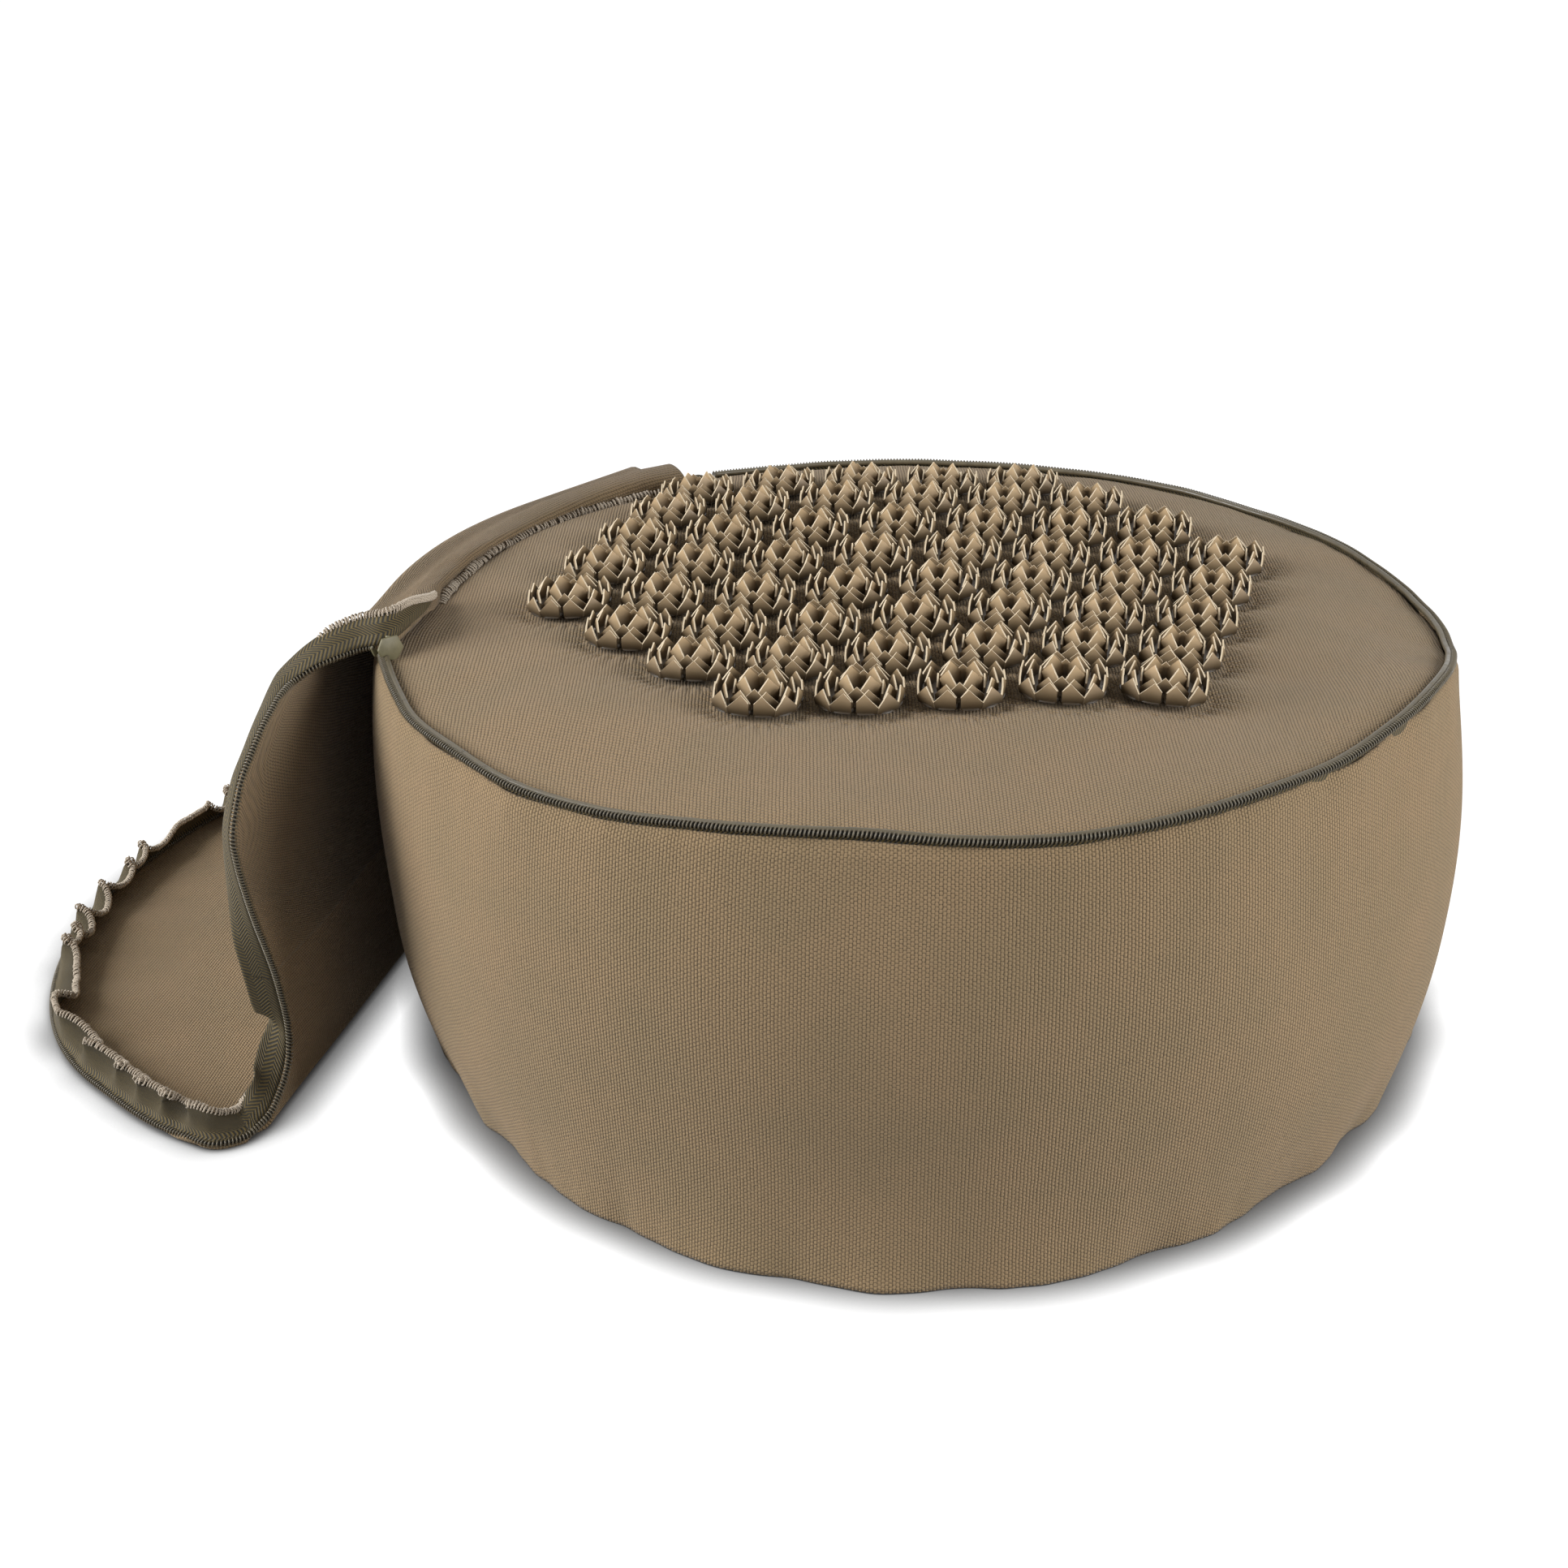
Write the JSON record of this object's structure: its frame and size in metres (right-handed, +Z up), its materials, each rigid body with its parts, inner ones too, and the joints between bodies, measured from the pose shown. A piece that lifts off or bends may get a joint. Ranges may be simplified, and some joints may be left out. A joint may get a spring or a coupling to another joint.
{
  "type": "acupressure floor cushion",
  "caption": "Round hull-filled floor cushion with lotus spike discs on its top panel, a rim zip with slider and pull, and a zip-off lid hanging down one side.",
  "frame": {"origin": "centre of the cushion's base, on the floor", "axes": "+Z up through the cushion's middle, -Y towards the camera, -X to the side where the lid hangs"},
  "size_m": [0.5733, 0.494, 0.1895],
  "materials": {
    "canvas": "matte",
    "liner_cotton": "matte",
    "hulls": "matte",
    "zip_tape": "matte",
    "zip_coil": "satin",
    "thread": "matte",
    "spike_plastic": "satin",
    "slider_metal": "satin"
  },
  "bodies": {
    "cushion": {"outer_bottom_panel": "canvas", "outer_side_band": "canvas", "spike_panel": "canvas", "bottom_seam_binding": "liner_cotton", "panel_seam_binding": "liner_cotton", "inner_liner": "liner_cotton", "hull_filling": "hulls", "rim_zip_tape": "zip_tape", "rim_zip_coil": "zip_coil", "rim_tape_overlock": "thread", "rim_tape_end": "zip_tape", "lid_tape_end": "zip_tape", "lid_fold": "canvas", "hinge_seam_overlock": "thread", "spike_row_1": "spike_plastic", "spike_row_2": "spike_plastic", "spike_row_3": "spike_plastic", "spike_row_4": "spike_plastic", "spike_row_5": "spike_plastic", "spike_row_6": "spike_plastic", "spike_row_7": "spike_plastic", "spike_row_8": "spike_plastic"},
    "slider": {"zip_slider": "slider_metal", "zip_slider_bridge": "slider_metal"},
    "pull": {"zip_pull": "slider_metal"},
    "lid_drop": {"lid_drop_panel": "canvas", "lid_drop_tape": "zip_tape", "lid_drop_coil": "zip_coil", "lid_drop_overlock": "thread"},
    "lid_toe": {"lid_toe_panel": "canvas", "lid_toe_tape": "zip_tape", "lid_toe_coil": "zip_coil", "lid_toe_overlock": "thread"}
  },
  "joints": [
    {"name": "slider_travel", "type": "hinge", "parent": "cushion", "child": "slider", "pos_m": [0, 0, 0.168], "axis": [0, 0, 1], "range_deg": [0, 281]},
    {"name": "pull_swing", "type": "hinge", "parent": "slider", "child": "pull", "pos_m": [-0.20514, -0.03617, 0.17], "axis": [-0.1736, 0.9848, 0], "range_deg": [0, 120]},
    {"name": "lid_lift", "type": "hinge", "parent": "cushion", "child": "lid_drop", "pos_m": [-0.16198, 0.08076, 0.172], "axis": [0.4462, 0.8949, 0], "range_deg": [0, 160]},
    {"name": "lid_unfold", "type": "hinge", "parent": "lid_drop", "child": "lid_toe", "pos_m": [-0.18116, 0.07551, 0.0004], "axis": [0.4462, 0.8949, 0], "range_deg": [-80, 0]}
  ],
  "couplings": [
    {"joint": "lid_unfold", "follows": "lid_lift", "ratio": -0.5}
  ]
}
